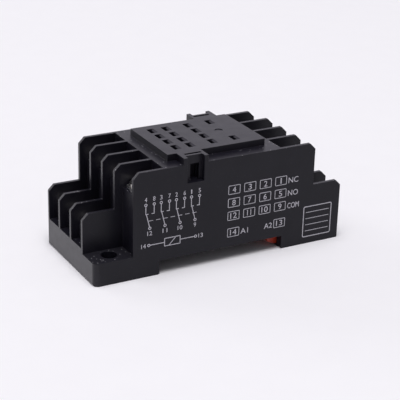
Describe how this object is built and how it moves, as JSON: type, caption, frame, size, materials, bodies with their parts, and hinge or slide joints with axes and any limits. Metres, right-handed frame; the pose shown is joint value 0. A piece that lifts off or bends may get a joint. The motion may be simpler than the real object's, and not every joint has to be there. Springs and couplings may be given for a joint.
{
  "type": "relay socket",
  "caption": "Black relay socket with two tiers of screw terminals between barriers, slotted seat for a plug-in relay, mounting corners and a sprung orange rail latch.",
  "frame": {"origin": "middle of the underside of the feet", "axes": "+X along the body, across the mounting rail, towards the end with the rail latch; +Y along the rail; +Z from the rail towards the relay"},
  "size_m": [0.072, 0.0296, 0.0303],
  "materials": {
    "housing_plastic": "fine-grained black thermoplastic",
    "cover_plastic": "smooth black thermoplastic",
    "latch_plastic": "orange acetal",
    "spring_steel": "drawn spring wire",
    "contact_brass": "stamped copper alloy",
    "washer_steel": "zinc-plated pressed steel",
    "screw_steel": "nickel-plated steel"
  },
  "bodies": {
    "base": {"housing": "housing_plastic", "base_cover": "cover_plastic", "contact_01": "contact_brass", "contact_02": "contact_brass", "contact_03": "contact_brass", "contact_04": "contact_brass", "contact_05": "contact_brass", "contact_06": "contact_brass", "contact_07": "contact_brass", "contact_08": "contact_brass", "contact_09": "contact_brass", "contact_10": "contact_brass", "contact_11": "contact_brass", "contact_12": "contact_brass", "contact_13": "contact_brass", "contact_14": "contact_brass", "latch_spring_1": "spring_steel", "latch_spring_2": "spring_steel"},
    "latch": {"rail_latch": "latch_plastic"},
    "clamp_01": {"clamp_washer_01": "washer_steel"},
    "screw_01": {"terminal_screw_01": "screw_steel"},
    "clamp_02": {"clamp_washer_02": "washer_steel"},
    "screw_02": {"terminal_screw_02": "screw_steel"},
    "clamp_03": {"clamp_washer_03": "washer_steel"},
    "screw_03": {"terminal_screw_03": "screw_steel"},
    "clamp_04": {"clamp_washer_04": "washer_steel"},
    "screw_04": {"terminal_screw_04": "screw_steel"},
    "clamp_05": {"clamp_washer_05": "washer_steel"},
    "screw_05": {"terminal_screw_05": "screw_steel"},
    "clamp_06": {"clamp_washer_06": "washer_steel"},
    "screw_06": {"terminal_screw_06": "screw_steel"},
    "clamp_07": {"clamp_washer_07": "washer_steel"},
    "screw_07": {"terminal_screw_07": "screw_steel"},
    "clamp_08": {"clamp_washer_08": "washer_steel"},
    "screw_08": {"terminal_screw_08": "screw_steel"},
    "clamp_09": {"clamp_washer_09": "washer_steel"},
    "screw_09": {"terminal_screw_09": "screw_steel"},
    "clamp_10": {"clamp_washer_10": "washer_steel"},
    "screw_10": {"terminal_screw_10": "screw_steel"},
    "clamp_11": {"clamp_washer_11": "washer_steel"},
    "screw_11": {"terminal_screw_11": "screw_steel"},
    "clamp_12": {"clamp_washer_12": "washer_steel"},
    "screw_12": {"terminal_screw_12": "screw_steel"},
    "clamp_13": {"clamp_washer_13": "washer_steel"},
    "screw_13": {"terminal_screw_13": "screw_steel"},
    "clamp_14": {"clamp_washer_14": "washer_steel"},
    "screw_14": {"terminal_screw_14": "screw_steel"}
  },
  "joints": [
    {"name": "latch_slide", "type": "slide", "parent": "base", "child": "latch", "axis": [1, 0, 0], "range_m": [0, 0.003], "stiffness_N_per_m": 600, "springref_m": -0.002, "deforming": ["latch_spring_1", "latch_spring_2"]},
    {"name": "clamp_01_lift", "type": "slide", "parent": "base", "child": "clamp_01", "axis": [0, 0, 1], "range_m": [0, 0.002]},
    {"name": "screw_01_turn", "type": "hinge", "parent": "clamp_01", "child": "screw_01", "pos_m": [-0.02155, 0.01071, 0.025], "axis": [0, 0, 1], "range_deg": [0, 1441]},
    {"name": "clamp_02_lift", "type": "slide", "parent": "base", "child": "clamp_02", "axis": [0, 0, 1], "range_m": [0, 0.002]},
    {"name": "screw_02_turn", "type": "hinge", "parent": "clamp_02", "child": "screw_02", "pos_m": [-0.02155, 0.00357, 0.025], "axis": [0, 0, 1], "range_deg": [0, 1441]},
    {"name": "clamp_03_lift", "type": "slide", "parent": "base", "child": "clamp_03", "axis": [0, 0, 1], "range_m": [0, 0.002]},
    {"name": "screw_03_turn", "type": "hinge", "parent": "clamp_03", "child": "screw_03", "pos_m": [-0.02155, -0.00357, 0.025], "axis": [0, 0, 1], "range_deg": [0, 1441]},
    {"name": "clamp_04_lift", "type": "slide", "parent": "base", "child": "clamp_04", "axis": [0, 0, 1], "range_m": [0, 0.002]},
    {"name": "screw_04_turn", "type": "hinge", "parent": "clamp_04", "child": "screw_04", "pos_m": [-0.02155, -0.01071, 0.025], "axis": [0, 0, 1], "range_deg": [0, 1441]},
    {"name": "clamp_05_lift", "type": "slide", "parent": "base", "child": "clamp_05", "axis": [0, 0, 1], "range_m": [0, 0.002]},
    {"name": "screw_05_turn", "type": "hinge", "parent": "clamp_05", "child": "screw_05", "pos_m": [-0.03035, 0.01071, 0.0138], "axis": [0, 0, 1], "range_deg": [0, 1441]},
    {"name": "clamp_06_lift", "type": "slide", "parent": "base", "child": "clamp_06", "axis": [0, 0, 1], "range_m": [0, 0.002]},
    {"name": "screw_06_turn", "type": "hinge", "parent": "clamp_06", "child": "screw_06", "pos_m": [-0.03035, 0.00357, 0.0138], "axis": [0, 0, 1], "range_deg": [0, 1441]},
    {"name": "clamp_07_lift", "type": "slide", "parent": "base", "child": "clamp_07", "axis": [0, 0, 1], "range_m": [0, 0.002]},
    {"name": "screw_07_turn", "type": "hinge", "parent": "clamp_07", "child": "screw_07", "pos_m": [0.03035, -0.00357, 0.0138], "axis": [0, 0, 1], "range_deg": [0, 1441]},
    {"name": "clamp_08_lift", "type": "slide", "parent": "base", "child": "clamp_08", "axis": [0, 0, 1], "range_m": [0, 0.002]},
    {"name": "screw_08_turn", "type": "hinge", "parent": "clamp_08", "child": "screw_08", "pos_m": [-0.03035, -0.00357, 0.0138], "axis": [0, 0, 1], "range_deg": [0, 1441]},
    {"name": "clamp_09_lift", "type": "slide", "parent": "base", "child": "clamp_09", "axis": [0, 0, 1], "range_m": [0, 0.002]},
    {"name": "screw_09_turn", "type": "hinge", "parent": "clamp_09", "child": "screw_09", "pos_m": [0.02155, 0.01071, 0.025], "axis": [0, 0, 1], "range_deg": [0, 1441]},
    {"name": "clamp_10_lift", "type": "slide", "parent": "base", "child": "clamp_10", "axis": [0, 0, 1], "range_m": [0, 0.002]},
    {"name": "screw_10_turn", "type": "hinge", "parent": "clamp_10", "child": "screw_10", "pos_m": [0.02155, 0.00357, 0.025], "axis": [0, 0, 1], "range_deg": [0, 1441]},
    {"name": "clamp_11_lift", "type": "slide", "parent": "base", "child": "clamp_11", "axis": [0, 0, 1], "range_m": [0, 0.002]},
    {"name": "screw_11_turn", "type": "hinge", "parent": "clamp_11", "child": "screw_11", "pos_m": [0.02155, -0.00357, 0.025], "axis": [0, 0, 1], "range_deg": [0, 1441]},
    {"name": "clamp_12_lift", "type": "slide", "parent": "base", "child": "clamp_12", "axis": [0, 0, 1], "range_m": [0, 0.002]},
    {"name": "screw_12_turn", "type": "hinge", "parent": "clamp_12", "child": "screw_12", "pos_m": [0.02155, -0.01071, 0.025], "axis": [0, 0, 1], "range_deg": [0, 1441]},
    {"name": "clamp_13_lift", "type": "slide", "parent": "base", "child": "clamp_13", "axis": [0, 0, 1], "range_m": [0, 0.002]},
    {"name": "screw_13_turn", "type": "hinge", "parent": "clamp_13", "child": "screw_13", "pos_m": [0.03035, 0.00357, 0.0138], "axis": [0, 0, 1], "range_deg": [0, 1441]},
    {"name": "clamp_14_lift", "type": "slide", "parent": "base", "child": "clamp_14", "axis": [0, 0, 1], "range_m": [0, 0.002]},
    {"name": "screw_14_turn", "type": "hinge", "parent": "clamp_14", "child": "screw_14", "pos_m": [0.03035, -0.01071, 0.0138], "axis": [0, 0, 1], "range_deg": [0, 1441]}
  ],
  "couplings": [
    {"joint": "screw_01_turn", "follows": "clamp_01_lift", "rad_per_m": 12566},
    {"joint": "screw_02_turn", "follows": "clamp_02_lift", "rad_per_m": 12566},
    {"joint": "screw_03_turn", "follows": "clamp_03_lift", "rad_per_m": 12566},
    {"joint": "screw_04_turn", "follows": "clamp_04_lift", "rad_per_m": 12566},
    {"joint": "screw_05_turn", "follows": "clamp_05_lift", "rad_per_m": 12566},
    {"joint": "screw_06_turn", "follows": "clamp_06_lift", "rad_per_m": 12566},
    {"joint": "screw_07_turn", "follows": "clamp_07_lift", "rad_per_m": 12566},
    {"joint": "screw_08_turn", "follows": "clamp_08_lift", "rad_per_m": 12566},
    {"joint": "screw_09_turn", "follows": "clamp_09_lift", "rad_per_m": 12566},
    {"joint": "screw_10_turn", "follows": "clamp_10_lift", "rad_per_m": 12566},
    {"joint": "screw_11_turn", "follows": "clamp_11_lift", "rad_per_m": 12566},
    {"joint": "screw_12_turn", "follows": "clamp_12_lift", "rad_per_m": 12566},
    {"joint": "screw_13_turn", "follows": "clamp_13_lift", "rad_per_m": 12566},
    {"joint": "screw_14_turn", "follows": "clamp_14_lift", "rad_per_m": 12566}
  ]
}
